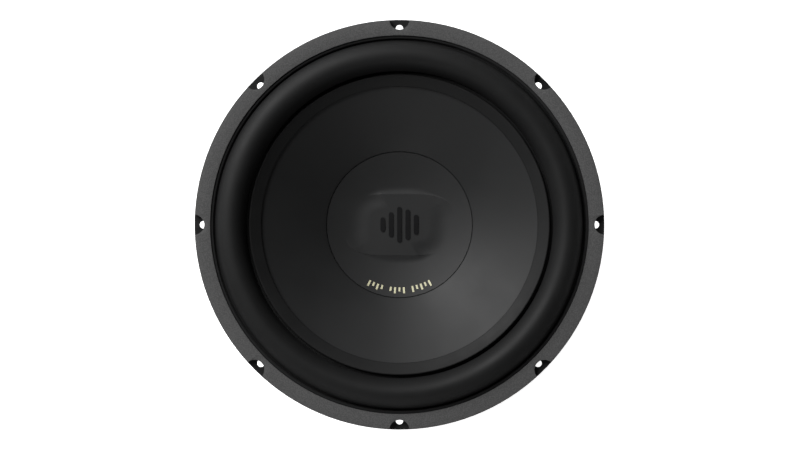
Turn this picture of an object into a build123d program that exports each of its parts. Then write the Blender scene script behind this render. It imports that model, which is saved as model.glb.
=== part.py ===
from build123d import *
from math import cos, pi, radians, sin, tan
import os

# A nominal twelve-inch car subwoofer driver, in millimetres.
# The origin is the centre of the mounting face, at the back of the flange.
# +Z points out of the cone's front, and the two terminal blocks lie on the X axis.

# Pressed-steel basket: flange, wall, legs, spider shelf and cup
sheet = 1.5
flange_r = 154.0
wall_r = 138.5
wall_depth = 12.75
shelf_r = 92.0
shelf_depth = 58.0
cup_r = 74.25
cup_taper = 2.0
cup_depth = 28.5
throat_r = 40.0
flange_bend = 2.0
wall_bend = 6.0
shelf_bend = 4.0
cup_bend = 2.5
rim_round = 0.6

# Windows between the basket's legs, and the vents in its cup
window_count = 8
window_inner_r = 97.0
window_outer_r = 131.0
window_round = 6.0
leg_width = 24.0
cup_vent_width = 16.0
cup_vent_height = 8.0
cup_vent_drop = 15.0

# Mounting holes
bolt_count = 8
bolt_circle_r = 147.25
bolt_hole_r = 2.8
stud_room = 0.1
stud_slack = 0.55

# Front gasket
gasket_inner_r = 142.1
gasket_margin = 0.5
gasket_height = 5.5
gasket_round = 0.4
notch_r = 7.5

# Surround: a half roll between two flat lips, with a locating bead inside the gasket
surround_wall = 1.2
lip_inner_r = 103.1
roll_inner_r = 115.1
roll_outer_r = 138.3
lip_outer_r = 144.6
roll_rise = 3.2
bead_width = 2.2
bead_height = 3.45

# Cone
cone_wall = 1.1
cone_rim_r = 112.7
cone_rim_z = 2.0
cone_angle = 27.0
neck_collar = 4.0
cone_bend = 1.5
cone_seat_step = 1.4
cone_seat_run = 1.2

# Dust cap with its raised pad and the level-meter emblem
cap_r = 54.9
cap_angle = 18.0
cap_wall = 1.0
cap_groove = 0.9
pad_length = 78.0
pad_width = 47.0
pad_corner = 20.0
pad_rise = 3.6
bar_width = 3.6
bar_pitch = 6.3
bar_thickness = 0.4
bar_lengths = (11.0, 19.0, 27.0, 23.0, 15.0)

# Voice coil
former_inner_r = 25.0
former_wall = 0.4
former_tail = 1.0
winding_wall = 1.6
winding_length = 30.0

# Spider
spider_wall = 0.6
spider_outer_r = 88.0
spider_pitch = 6.0
spider_height = 2.2
spider_waves_outer_r = 76.0
spider_neck_flat = 7.0
spider_bend = 1.5
spider_collar = 3.0

# Motor
top_plate_r = 70.0
top_plate_thickness = 8.0
coil_gap = 1.0
pole_gap = 0.7
magnet_r = 72.5
magnet_setback = 4.5
magnet_thickness = 17.0
magnet_chamfer = 0.8
back_plate_r = 70.0
back_plate_thickness = 8.0
vent_r = 9.0
vent_flare = 3.0
screen_r = 12.0
screen_thickness = 0.8
screen_seat = 1.2
screen_hole_r = 0.9
screen_hole_apothem = 1.35
screen_hole_count = 7
boot_wall = 2.0
boot_round = 5.0
boot_opening_r = 40.0
boot_lap = 2.0

# Rivets between the basket and the top plate
rivet_count = 8
rivet_circle_r = 56.0
rivet_r = 2.5
rivet_head_r = 4.2
rivet_head_height = 2.2
rivet_depth = 7.0

# Terminal blocks, each with two push buttons over two wire holes
tab_setback = 2.0
tab_root_r = 86.0
tab_width = 40.0
block_heel = 7.0
block_clear = 0.5
block_width = 36.0
block_height = 15.5
block_round = 1.0
boss_length = 7.0
boss_width = 22.0
boss_height = 2.4
contact_wall = 0.5
contact_thickness = 0.8
contact_width = 5.0
contact_foot = 14.0
lug_height = 10.5
button_spacing = 13.0
button_drop = 5.5
button_base_width = 9.0
button_base_height = 6.0
button_base_length = 5.2
button_stem_width = 7.7
button_stem_height = 4.7
button_projection = 4.0
button_travel = 3.0
button_slack = 0.3
button_mouth = 1.5
button_round = 0.6
spring_pressed = 2.0
spring_coil_r = 1.8
spring_wire_r = 0.18
spring_turns = 4
wire_hole_r = 1.6
wire_hole_drop = 12.3
block_rivet_r = 1.5
block_rivet_head_r = 2.8
block_rivet_head_height = 1.0
block_rivet_lead = 3.0
block_rivet_spacing = 30.0

# Tinsel leads, from a terminal lug over the spider to the coil's former
lead_r = 1.0
lead_height = 8.5
lead_route = ((88.0, 8.5), (77.0, 13.5), (62.0, 15.5), (47.0, 12.5), (36.0, 8.0))
lead_arc_share = 0.45

# Named clearances
glue = 0.05
bond = 0.3
slide_gap = 0.3
slot_gap = 0.1
rivet_gap = 0.05

# Sizes that follow from the ones above: cone, cap and coil
cone_drop = tan(radians(cone_angle))
cone_mid_drop = cone_wall / cos(radians(cone_angle)) / 2
former_outer_r = former_inner_r + former_wall
winding_outer_r = former_outer_r + winding_wall
neck_r = former_outer_r + glue + cone_wall / 2
former_top_z = cone_rim_z - (cone_rim_r - neck_r) * cone_drop
cap_sphere_r = cap_r / sin(radians(cap_angle))
cap_depth = cap_sphere_r * (1 - cos(radians(cap_angle)))
cap_centre_z = cone_rim_z - (cone_rim_r - cap_r) * cone_drop - cap_depth
cap_sphere_z = cap_centre_z + cap_sphere_r
pad_z = cap_centre_z + pad_rise

# Surround, gasket and mounting holes
roll_mid_r = (roll_inner_r + roll_outer_r) / 2
roll_r = (roll_outer_r - roll_inner_r) / 2
roll_z = sheet + roll_rise - surround_wall
bead_outer_r = gasket_inner_r - slot_gap
gasket_outer_r = flange_r - gasket_margin
stud_inner_r = bolt_circle_r - (bolt_hole_r - stud_slack)
notch_centre_r = stud_inner_r - stud_room + notch_r

# Basket and spider
window_step = 360 / window_count
half_window = window_step / 2
shelf_z = -shelf_depth
plate_seat_z = shelf_z - cup_depth
spider_z = shelf_z + glue + spider_wall / 2
spider_neck_r = former_outer_r + bond + spider_wall / 2

# Motor
plate_top_z = plate_seat_z - sheet
plate_bottom_z = plate_top_z - top_plate_thickness
magnet_split_z = plate_bottom_z - magnet_thickness
magnet_bottom_z = magnet_split_z - magnet_thickness
back_plate_top_z = magnet_bottom_z
back_z = back_plate_top_z - back_plate_thickness
pole_r = former_inner_r - pole_gap
plate_bore_r = winding_outer_r + coil_gap
magnet_hole_r = plate_bore_r + magnet_setback
winding_mid_z = plate_top_z - top_plate_thickness / 2
winding_bottom_z = winding_mid_z - winding_length / 2
former_bottom_z = winding_bottom_z - former_tail
boot_r = magnet_r + slot_gap + boot_wall

# Terminals, from the window's inner edge outwards
terminal_angles = (0.0, 180.0)
contact_r = window_inner_r + block_clear + boss_length / 2
spring_seat_r = contact_r + contact_thickness / 2 + slot_gap + contact_wall
spring_room = button_travel + spring_pressed
button_base_r = spring_seat_r + spring_room
button_rest_r = button_base_r + button_base_length
chamber_end_r = button_rest_r + slide_gap
block_face_r = chamber_end_r + button_mouth
block_inner_r = contact_r - block_heel
block_rivet_x = contact_r + block_rivet_lead
tab_outer_r = block_face_r - tab_setback
block_top_z = shelf_z - sheet
block_bottom_z = block_top_z - block_height
button_z = block_top_z - button_drop
wire_hole_z = block_top_z - wire_hole_drop
contact_foot_z = block_top_z - contact_foot
contact_top_z = shelf_z + lug_height
lead_start_r = contact_r - contact_thickness / 2
lead_end_r = former_outer_r + bond


def cone_front_z(radius):
    """Height of the cone's front face at a radius."""
    return cone_rim_z - (cone_rim_r - radius) * cone_drop


def ring(inner_r, outer_r, bottom_z, top_z):
    """A plain tube about the axis, as a loose part."""
    with BuildPart() as tube:
        with BuildSketch(Plane.XY.offset(bottom_z)):
            Circle(outer_r)
            Circle(inner_r, mode=Mode.SUBTRACT)
        extrude(amount=top_z - bottom_z)
    return tube.part


def side_plane(angle):
    """The plane of one terminal block: its X axis points outwards at the angle."""
    outwards = Vector(cos(radians(angle)), sin(radians(angle)), 0)
    return Plane(origin=(0, 0, 0), x_dir=outwards, z_dir=(0, 0, 1))


def side_face(angle, radius):
    """A plane across one terminal block: X is sideways, Y is up and Z points outwards."""
    flat = side_plane(angle)
    return Plane(origin=flat.from_local_coords((radius, 0, 0)), x_dir=flat.y_dir, z_dir=flat.x_dir)


def corner_radii(points):
    """Arc radius at each inner point of a route, as large as its two runs allow."""
    radii = []
    for before, here, after in zip(points, points[1:], points[2:]):
        run_in = Vector(*here) - Vector(*before)
        run_out = Vector(*after) - Vector(*here)
        turn = radians(run_in.get_angle(run_out))
        radii.append(lead_arc_share * min(run_in.length, run_out.length) / tan(turn / 2))
    return radii


os.makedirs("parts", exist_ok=True)

# ---------------------------------------------------------------- basket
sheet_mid_z = sheet / 2
wall_mid_r = wall_r - sheet / 2
shelf_mid_z = shelf_z - sheet / 2
seat_mid_z = plate_seat_z - sheet / 2
basket_line = (
    (flange_r, sheet_mid_z),
    (wall_mid_r, sheet_mid_z),
    (wall_mid_r, sheet_mid_z - wall_depth),
    (shelf_r, shelf_mid_z),
    (cup_r, shelf_mid_z),
    (cup_r - cup_taper, seat_mid_z),
    (throat_r, seat_mid_z),
)
basket_bends = (flange_bend, wall_bend, shelf_bend, cup_bend, cup_bend)
with BuildPart() as basket:
    with BuildSketch(Plane.XZ):
        with BuildLine():
            FilletPolyline(*basket_line, radius=basket_bends)
        trace(line_width=sheet)
    revolve(axis=Axis.Z)
    rim_edges = basket.edges().filter_by(GeomType.CIRCLE).group_by(lambda edge: edge.radius)[-1]
    fillet(rim_edges, rim_round)
    # The windows leave one leg half way between each two of them.
    with BuildSketch(Plane.XY.offset(shelf_z)) as windows:
        Circle(window_outer_r)
        Circle(window_inner_r, mode=Mode.SUBTRACT)
        with PolarLocations(0, window_count, start_angle=half_window):
            Rectangle(2 * flange_r, leg_width, mode=Mode.SUBTRACT)
        fillet(windows.vertices(), window_round)
    extrude(amount=shelf_depth - wall_bend, mode=Mode.SUBTRACT)
    for vent in range(window_count // 2):
        with BuildSketch(Plane.YZ.rotated((0, 0, half_window + vent * window_step))):
            with Locations((0, shelf_z - cup_vent_drop)):
                SlotOverall(cup_vent_width, cup_vent_height)
        extrude(amount=flange_r, both=True, mode=Mode.SUBTRACT)
    for side in terminal_angles:
        with BuildSketch(side_plane(side).offset(shelf_z - sheet)):
            with Locations(((tab_root_r + tab_outer_r) / 2, 0)):
                Rectangle(tab_outer_r - tab_root_r, tab_width)
            with Locations((contact_r, 0)):
                Rectangle(boss_length + 2 * slot_gap, boss_width + 2 * slot_gap, mode=Mode.SUBTRACT)
            with Locations((block_rivet_x, 0)):
                with GridLocations(0, block_rivet_spacing, 1, 2):
                    Circle(block_rivet_r + rivet_gap, mode=Mode.SUBTRACT)
        extrude(amount=sheet)
    with PolarLocations(bolt_circle_r, bolt_count):
        Cylinder(bolt_hole_r, 4 * sheet, mode=Mode.SUBTRACT)
    with BuildSketch(Plane.XY.offset(plate_seat_z - 2 * sheet)):
        with PolarLocations(rivet_circle_r, rivet_count):
            Circle(rivet_r + rivet_gap)
    extrude(amount=3 * sheet, mode=Mode.SUBTRACT)
basket.part.label = "basket"
export_step(basket.part, "parts/basket.step")

# ---------------------------------------------------------------- front gasket
with BuildPart() as front_gasket:
    with BuildSketch(Plane.XY.offset(sheet)):
        Circle(gasket_outer_r)
        Circle(gasket_inner_r, mode=Mode.SUBTRACT)
    extrude(amount=gasket_height)
    top_edges = front_gasket.edges().filter_by(GeomType.CIRCLE).group_by(Axis.Z)[-1]
    fillet(top_edges, gasket_round)
    # Underneath, a rebate takes the surround's lip.
    with BuildSketch(Plane.XY.offset(sheet)):
        Circle(lip_outer_r + glue)
    extrude(amount=surround_wall + 2 * glue, mode=Mode.SUBTRACT)
    # A round notch over each mounting hole lets the screw's head through.
    with BuildSketch(Plane.XY.offset(sheet)):
        with PolarLocations(notch_centre_r, bolt_count):
            Circle(notch_r)
            Rectangle(flange_r - notch_centre_r, 2 * notch_r, align=(Align.MIN, Align.CENTER))
    extrude(amount=gasket_height, mode=Mode.SUBTRACT)
front_gasket.part.label = "front_gasket"
export_step(front_gasket.part, "parts/front_gasket.step")

# ---------------------------------------------------------------- surround
lip_bottom_z = sheet + glue
lip_edge_z = cone_front_z(lip_inner_r) + bond
roll_lip_z = cone_front_z(roll_inner_r) + bond
with BuildPart() as surround:
    with BuildSketch(Plane.XZ):
        with Locations((roll_mid_r, roll_z)):
            Circle(roll_r + surround_wall / 2)
            Circle(roll_r - surround_wall / 2, mode=Mode.SUBTRACT)
        with Locations((roll_mid_r, roll_z - 2 * roll_r)):
            Rectangle(4 * roll_r, 4 * roll_r, mode=Mode.SUBTRACT)
        with BuildLine():
            Polyline(
                (roll_outer_r - surround_wall / 2, roll_z),
                (roll_outer_r - surround_wall / 2, lip_bottom_z),
                (lip_outer_r, lip_bottom_z),
                (lip_outer_r, lip_bottom_z + surround_wall),
                (roll_outer_r + surround_wall / 2, lip_bottom_z + surround_wall),
                (roll_outer_r + surround_wall / 2, roll_z),
                close=True,
            )
        make_face()
        with BuildLine():
            Polyline(
                (roll_inner_r + surround_wall / 2, roll_z),
                (roll_inner_r + surround_wall / 2, roll_lip_z),
                (roll_inner_r, roll_lip_z),
                (lip_inner_r, lip_edge_z),
                (lip_inner_r, lip_edge_z + surround_wall),
                (roll_inner_r - surround_wall / 2, roll_lip_z + surround_wall),
                (roll_inner_r - surround_wall / 2, roll_z),
                close=True,
            )
        make_face()
        with Locations((bead_outer_r, lip_bottom_z)):
            Rectangle(bead_width, surround_wall + bead_height, align=(Align.MAX, Align.MIN))
    revolve(axis=Axis.Z)
surround.part.label = "surround"
export_step(surround.part, "parts/surround.step")

# ---------------------------------------------------------------- cone
cone_line = (
    (cone_rim_r, cone_front_z(cone_rim_r) - cone_mid_drop),
    (cap_r + cap_groove + cone_seat_run, cone_front_z(cap_r + cap_groove + cone_seat_run) - cone_mid_drop),
    (cap_r + cap_groove, cone_front_z(cap_r + cap_groove) - cone_mid_drop - cone_seat_step),
    (neck_r, cone_front_z(neck_r) - cone_mid_drop - cone_seat_step),
    (neck_r, cone_front_z(neck_r) - cone_mid_drop - cone_seat_step - neck_collar),
)
with BuildPart() as cone:
    with BuildSketch(Plane.XZ):
        with BuildLine():
            FilletPolyline(*cone_line, radius=(cone_bend, cone_bend, cone_bend))
        trace(line_width=cone_wall)
    revolve(axis=Axis.Z)
cone.part.label = "cone"
export_step(cone.part, "parts/cone.step")

# ---------------------------------------------------------------- dust cap
with BuildPart() as dust_cap:
    # The raised pad stands on the bowl and ends where the bowl rises to meet it.
    with BuildSketch(Plane.XZ):
        with Locations((0, cap_sphere_z)):
            Circle(cap_sphere_r + cap_wall)
        with Locations((pad_length / 2, pad_z - cap_depth)):
            Rectangle(pad_length, 2 * cap_depth, mode=Mode.INTERSECT)
    revolve(axis=Axis.Z)
    with BuildSketch(Plane.XY.offset(cap_centre_z - 2 * cap_wall)):
        RectangleRounded(pad_length, pad_width, pad_corner)
    extrude(amount=cap_depth, mode=Mode.INTERSECT)
    with BuildSketch(Plane.XZ):
        with Locations((0, cap_sphere_z)):
            Circle(cap_sphere_r + cap_wall)
            Circle(cap_sphere_r, mode=Mode.SUBTRACT)
        with Locations((cap_r / 2, cap_centre_z)):
            Rectangle(cap_r, 4 * cap_depth, mode=Mode.INTERSECT)
    revolve(axis=Axis.Z)
dust_cap.part.label = "dust_cap"
export_step(dust_cap.part, "parts/dust_cap.step")

# ---------------------------------------------------------------- emblem: plain level-meter bars
with BuildPart() as emblem_bars:
    for place, bar_length in enumerate(bar_lengths):
        bar_x = (place - (len(bar_lengths) - 1) / 2) * bar_pitch
        with BuildSketch(Plane.XY.offset(pad_z)):
            with Locations((bar_x, 0)):
                SlotOverall(bar_length, bar_width, rotation=90)
        extrude(amount=bar_thickness)
emblem_bars.part.label = "emblem_bars"
export_step(emblem_bars.part, "parts/emblem_bars.step")

# ---------------------------------------------------------------- voice coil
with BuildPart() as coil_former:
    add(ring(former_inner_r, former_outer_r, former_bottom_z, former_top_z))
coil_former.part.label = "coil_former"
export_step(coil_former.part, "parts/coil_former.step")

with BuildPart() as voice_coil:
    add(ring(former_outer_r, winding_outer_r, winding_bottom_z, winding_bottom_z + winding_length))
voice_coil.part.label = "voice_coil"
export_step(voice_coil.part, "parts/voice_coil.step")

# ---------------------------------------------------------------- spider
half_pitch = spider_pitch / 2
wave_count = int((spider_waves_outer_r - spider_neck_r - spider_neck_flat) / half_pitch) + 1
spider_line = [(spider_outer_r, spider_z), (spider_waves_outer_r + half_pitch, spider_z)]
for wave in range(wave_count):
    wave_side = 1 if wave % 2 == 0 else -1
    spider_line.append((spider_waves_outer_r - wave * half_pitch, spider_z + wave_side * spider_height))
spider_line.append((spider_neck_r, spider_z))
spider_line.append((spider_neck_r, spider_z + spider_collar))
with BuildPart() as spider:
    with BuildSketch(Plane.XZ):
        with BuildLine():
            FilletPolyline(*spider_line, radius=[spider_bend] * (len(spider_line) - 2))
        trace(line_width=spider_wall)
    revolve(axis=Axis.Z)
spider.part.label = "spider"
export_step(spider.part, "parts/spider.step")

# ---------------------------------------------------------------- motor
with BuildPart() as top_plate:
    add(ring(plate_bore_r, top_plate_r, plate_bottom_z, plate_top_z))
    with BuildSketch(Plane.XY.offset(plate_top_z)):
        with PolarLocations(rivet_circle_r, rivet_count):
            Circle(rivet_r + rivet_gap)
    extrude(amount=-rivet_depth, mode=Mode.SUBTRACT)
top_plate.part.label = "top_plate"
export_step(top_plate.part, "parts/top_plate.step")

with BuildPart() as plate_rivets:
    with BuildSketch(Plane.XY.offset(plate_top_z - rivet_depth)):
        with PolarLocations(rivet_circle_r, rivet_count):
            Circle(rivet_r)
    extrude(amount=rivet_depth + sheet)
    with BuildSketch(Plane.XY.offset(plate_seat_z)):
        with PolarLocations(rivet_circle_r, rivet_count):
            Circle(rivet_head_r)
    extrude(amount=rivet_head_height)
    head_edges = plate_rivets.edges().group_by(Axis.Z)[-1]
    fillet(head_edges, rivet_head_height / 2)
plate_rivets.part.label = "plate_rivets"
export_step(plate_rivets.part, "parts/plate_rivets.step")

with BuildPart() as front_magnet:
    add(ring(magnet_hole_r, magnet_r, magnet_split_z, plate_bottom_z))
    chamfer(front_magnet.edges(), magnet_chamfer)
front_magnet.part.label = "front_magnet"
export_step(front_magnet.part, "parts/front_magnet.step")

with BuildPart() as rear_magnet:
    add(ring(magnet_hole_r, magnet_r, magnet_bottom_z, magnet_split_z))
    chamfer(rear_magnet.edges(), magnet_chamfer)
rear_magnet.part.label = "rear_magnet"
export_step(rear_magnet.part, "parts/rear_magnet.step")

with BuildPart() as pole_and_back_plate:
    with BuildSketch(Plane.XZ):
        with BuildLine():
            Polyline(
                (vent_r, plate_top_z),
                (pole_r, plate_top_z),
                (pole_r, back_plate_top_z),
                (back_plate_r, back_plate_top_z),
                (back_plate_r, back_z),
                (screen_r + slot_gap, back_z),
                (screen_r + slot_gap, back_z + screen_seat),
                (vent_r + vent_flare, back_z + screen_seat),
                (vent_r, back_z + screen_seat + 2 * vent_flare),
                close=True,
            )
        make_face()
    revolve(axis=Axis.Z)
pole_and_back_plate.part.label = "pole_and_back_plate"
export_step(pole_and_back_plate.part, "parts/pole_and_back_plate.step")

with BuildPart() as vent_screen:
    with BuildSketch(Plane.XY.offset(back_z + screen_seat - screen_thickness)):
        Circle(screen_r)
        with HexLocations(screen_hole_apothem, screen_hole_count, screen_hole_count) as screen_grid:
            screen_places = [place for place in screen_grid.local_locations
                             if place.position.length + 2 * screen_hole_r < vent_r + vent_flare]
        with Locations(*screen_places):
            Circle(screen_hole_r, mode=Mode.SUBTRACT)
    extrude(amount=screen_thickness)
vent_screen.part.label = "vent_screen"
export_step(vent_screen.part, "parts/vent_screen.step")

with BuildPart() as magnet_boot:
    with BuildSketch(Plane.XZ) as boot_section:
        with BuildLine():
            Polyline(
                (boot_opening_r, back_z - boot_wall),
                (boot_r, back_z - boot_wall),
                (boot_r, plate_bottom_z - boot_lap),
                (boot_r - boot_wall, plate_bottom_z - boot_lap),
                (boot_r - boot_wall, back_z),
                (boot_opening_r, back_z),
                close=True,
            )
        make_face()
        outer_corner = boot_section.vertices().sort_by(lambda point: point.X - point.Y)[-1]
        fillet(outer_corner, boot_round)
    revolve(axis=Axis.Z)
magnet_boot.part.label = "magnet_boot"
export_step(magnet_boot.part, "parts/magnet_boot.step")

# ---------------------------------------------------------------- terminals, one set on each side
button_offsets = {"positive": button_spacing / 2, "negative": -button_spacing / 2}
for side_name, side in zip(("right", "left"), terminal_angles):
    flat = side_plane(side)
    with BuildPart() as terminal_block:
        with BuildSketch(flat.offset(block_bottom_z)):
            with Locations(((block_inner_r + block_face_r) / 2, 0)):
                Rectangle(block_face_r - block_inner_r, block_width)
        extrude(amount=block_height)
        fillet(terminal_block.edges().filter_by(Axis.Z), block_round)
        with BuildSketch(flat.offset(block_top_z)):
            with Locations((contact_r, 0)):
                Rectangle(boss_length, boss_width)
        extrude(amount=boss_height)
        with BuildSketch(flat.offset(block_bottom_z)):
            with Locations((block_rivet_x, 0)):
                with GridLocations(0, block_rivet_spacing, 1, 2):
                    Circle(block_rivet_r + rivet_gap)
        extrude(amount=block_height, mode=Mode.SUBTRACT)
        for offset_y in button_offsets.values():
            # The button's chamber, its narrower mouth, the wire hole and the contact's slot.
            with BuildSketch(side_face(side, spring_seat_r)):
                with Locations((offset_y, button_z)):
                    Rectangle(button_base_width + 2 * button_slack, button_base_height + 2 * button_slack)
            extrude(amount=chamber_end_r - spring_seat_r, mode=Mode.SUBTRACT)
            with BuildSketch(side_face(side, chamber_end_r)):
                with Locations((offset_y, button_z)):
                    Rectangle(button_stem_width + 2 * button_slack, button_stem_height + 2 * button_slack)
            extrude(amount=button_mouth, mode=Mode.SUBTRACT)
            with BuildSketch(side_face(side, contact_r)):
                with Locations((offset_y, wire_hole_z)):
                    Circle(wire_hole_r)
            extrude(amount=block_face_r - contact_r, mode=Mode.SUBTRACT)
            with BuildSketch(flat.offset(contact_foot_z - slot_gap)):
                with Locations((contact_r, offset_y)):
                    Rectangle(contact_thickness + 2 * slot_gap, contact_width + 2 * slot_gap)
            extrude(amount=contact_foot + boss_height + 2 * slot_gap, mode=Mode.SUBTRACT)
    terminal_block.part.label = f"terminal_block_{side_name}"
    export_step(terminal_block.part, f"parts/terminal_block_{side_name}.step")

    for pole_name, offset_y in button_offsets.items():
        with BuildPart() as push_button:
            with BuildSketch(side_face(side, button_base_r)):
                with Locations((offset_y, button_z)):
                    Rectangle(button_base_width, button_base_height)
            extrude(amount=button_base_length)
            with BuildSketch(side_face(side, button_base_r)):
                with Locations((offset_y, button_z)):
                    Rectangle(button_stem_width, button_stem_height)
            extrude(amount=block_face_r + button_projection - button_base_r)
            if side == terminal_angles[0]:
                cap_edges = push_button.edges().group_by(Axis.X)[-1]
            else:
                cap_edges = push_button.edges().group_by(Axis.X)[0]
            fillet(cap_edges, button_round)
        push_button.part.label = f"push_button_{side_name}_{pole_name}"
        export_step(push_button.part, f"parts/push_button_{side_name}_{pole_name}.step")

        with BuildPart() as button_spring:
            spring_length = spring_room - 2 * (spring_wire_r + slide_gap / 2)
            spring_start_r = spring_seat_r + spring_wire_r + slide_gap / 2
            spring_plane = side_face(side, spring_start_r)
            spring_centre = spring_plane.from_local_coords((offset_y, button_z, 0))
            with BuildLine():
                spring_path = Helix(
                    pitch=spring_length / spring_turns,
                    height=spring_length,
                    radius=spring_coil_r,
                    center=spring_centre,
                    direction=spring_plane.z_dir,
                )
            with BuildSketch(Plane(origin=spring_path @ 0, z_dir=spring_path % 0)):
                Circle(spring_wire_r)
            sweep(path=spring_path, is_frenet=True)
        button_spring.part.label = f"button_spring_{side_name}_{pole_name}"
        export_step(button_spring.part, f"parts/button_spring_{side_name}_{pole_name}.step")

        with BuildPart() as contact:
            with BuildSketch(flat.offset(contact_foot_z)):
                with Locations((contact_r, offset_y)):
                    Rectangle(contact_thickness, contact_width)
            extrude(amount=contact_top_z - contact_foot_z)
        contact.part.label = f"contact_{side_name}_{pole_name}"
        export_step(contact.part, f"parts/contact_{side_name}_{pole_name}.step")

        # The lead keeps to one plane, square to the contact at one end and to the coil at the other.
        lead_points = [(lead_start_r, lead_height), *lead_route, (lead_end_r, lead_route[-1][1])]
        lead_radii = corner_radii(lead_points)
        lead_plane = Plane(
            origin=flat.from_local_coords((0, offset_y, shelf_z)), x_dir=flat.x_dir, z_dir=-flat.y_dir
        )
        with BuildPart() as tinsel_lead:
            with BuildLine(lead_plane) as lead_path:
                FilletPolyline(*lead_points, radius=lead_radii)
            lead_wire = lead_path.wires()[0]
            with BuildSketch(Plane(origin=lead_wire @ 0, z_dir=lead_wire % 0)):
                Circle(lead_r)
            sweep(path=lead_wire)
        lead_volume = pi * lead_r**2 * lead_wire.length
        print(f"tinsel lead {side_name} {pole_name}: length {lead_wire.length:.1f}, "
              f"radii {[round(radius, 1) for radius in lead_radii]}, "
              f"volume {tinsel_lead.part.volume:.2f} of {lead_volume:.2f}")
        tinsel_lead.part.label = f"tinsel_lead_{side_name}_{pole_name}"
        export_step(tinsel_lead.part, f"parts/tinsel_lead_{side_name}_{pole_name}.step")

with BuildPart() as terminal_rivets:
    for side in terminal_angles:
        flat = side_plane(side)
        with BuildSketch(flat.offset(block_bottom_z)):
            with Locations((block_rivet_x, 0)):
                with GridLocations(0, block_rivet_spacing, 1, 2):
                    Circle(block_rivet_r)
        extrude(amount=block_height + sheet)
        for head_bottom_z in (shelf_z, block_bottom_z - block_rivet_head_height):
            with BuildSketch(flat.offset(head_bottom_z)):
                with Locations((block_rivet_x, 0)):
                    with GridLocations(0, block_rivet_spacing, 1, 2):
                        Circle(block_rivet_head_r)
            extrude(amount=block_rivet_head_height)
terminal_rivets.part.label = "terminal_rivets"
export_step(terminal_rivets.part, "parts/terminal_rivets.step")
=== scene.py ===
import logging
import math
from dataclasses import dataclass
from enum import Enum

import bpy
import numpy as np
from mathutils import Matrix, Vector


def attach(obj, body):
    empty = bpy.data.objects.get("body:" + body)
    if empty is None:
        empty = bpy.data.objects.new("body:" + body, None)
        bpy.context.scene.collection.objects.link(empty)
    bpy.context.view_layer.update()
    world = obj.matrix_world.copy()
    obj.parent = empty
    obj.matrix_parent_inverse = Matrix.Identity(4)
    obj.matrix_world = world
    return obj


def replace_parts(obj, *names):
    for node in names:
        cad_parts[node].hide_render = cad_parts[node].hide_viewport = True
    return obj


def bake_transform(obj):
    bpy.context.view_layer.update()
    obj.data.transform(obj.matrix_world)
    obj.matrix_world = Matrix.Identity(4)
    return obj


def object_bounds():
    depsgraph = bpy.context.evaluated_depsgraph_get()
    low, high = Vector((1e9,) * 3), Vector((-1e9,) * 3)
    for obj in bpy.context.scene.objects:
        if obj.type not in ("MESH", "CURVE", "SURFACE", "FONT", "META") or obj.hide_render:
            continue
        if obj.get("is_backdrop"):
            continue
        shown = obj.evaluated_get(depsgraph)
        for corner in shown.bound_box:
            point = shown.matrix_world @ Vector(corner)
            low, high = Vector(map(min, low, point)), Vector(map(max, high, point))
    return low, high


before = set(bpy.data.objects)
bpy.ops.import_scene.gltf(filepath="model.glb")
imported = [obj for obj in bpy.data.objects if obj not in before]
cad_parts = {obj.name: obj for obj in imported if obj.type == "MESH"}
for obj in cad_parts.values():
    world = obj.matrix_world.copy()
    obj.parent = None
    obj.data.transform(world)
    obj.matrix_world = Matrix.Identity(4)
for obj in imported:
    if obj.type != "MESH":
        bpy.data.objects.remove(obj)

# The looks of a nominal twelve-inch car subwoofer driver, in metres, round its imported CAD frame.
# +Z points out of the cone's front. The terminal blocks lie on the X axis.

log = logging.getLogger("subwoofer")
MM = 0.001
TURN = 2 * math.pi
Value = float | tuple | bpy.types.NodeSocket


class Body(Enum):
    """The CAD bodies that the new pieces ride on."""

    FRAME = "frame"
    CONE = "cone_assembly"


class Side(Enum):
    """The two terminal blocks, by the sign of their X."""

    RIGHT = 1
    LEFT = -1


class Pole(Enum):
    """The two poles of a terminal block, by the sign of their Y on the right block.

    The left block is the right one turned half round, so its poles change places in Y.
    """

    POSITIVE = 1
    NEGATIVE = -1


# ---------------------------------------------------------------- surfaces


def grid_faces(rows: int, columns: int, wrap_rows: bool, wrap_columns: bool) -> np.ndarray:
    """Quads over a grid of points held row by row.

    Args:
        rows: how many rows of points there are.
        columns: how many points each row has.
        wrap_rows: True where the last row joins the first.
        wrap_columns: True where the last point of a row joins its first.

    Returns:
        An array of four point numbers for each quad.
    """
    row, column = np.meshgrid(
        np.arange(rows if wrap_rows else rows - 1),
        np.arange(columns if wrap_columns else columns - 1),
        indexing="ij",
    )
    next_row, next_column = (row + 1) % rows, (column + 1) % columns
    corners = (
        row * columns + column,
        next_row * columns + column,
        next_row * columns + next_column,
        row * columns + next_column,
    )
    return np.stack(corners, axis=-1).reshape(-1, 4)


def rounded_line(points: list, radii: list, steps: int = 8) -> np.ndarray:
    """A line of straight runs whose corners are tangent arcs.

    At each corner the arc's centre lies on the bisector, at radius over the cosine of half
    the turn, and the arc sweeps from one run's normal to the next.

    Args:
        points: the corners, two numbers each.
        radii: the arc's radius at each inner corner.
        steps: how many pieces each arc is cut into.

    Returns:
        The points of the line, two numbers each.
    """
    corners = np.array(points, float)
    line = [corners[:1]]
    for before, here, after, radius in zip(corners, corners[1:], corners[2:], radii):
        run_in = (here - before) / np.linalg.norm(here - before)
        run_out = (after - here) / np.linalg.norm(after - here)
        side = np.sign(run_in[0] * run_out[1] - run_in[1] * run_out[0])
        turn = math.acos(float(np.clip(run_in @ run_out, -1, 1)))
        start = here - run_in * radius * math.tan(turn / 2)
        normal = side * np.array([-run_in[1], run_in[0]])
        angle = np.linspace(0, turn, steps + 1)[:, None]
        line.append(start + radius * (normal * (1 - np.cos(angle)) + run_in * np.sin(angle)))
    line.append(corners[-1:])
    return np.concatenate(line)


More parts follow.
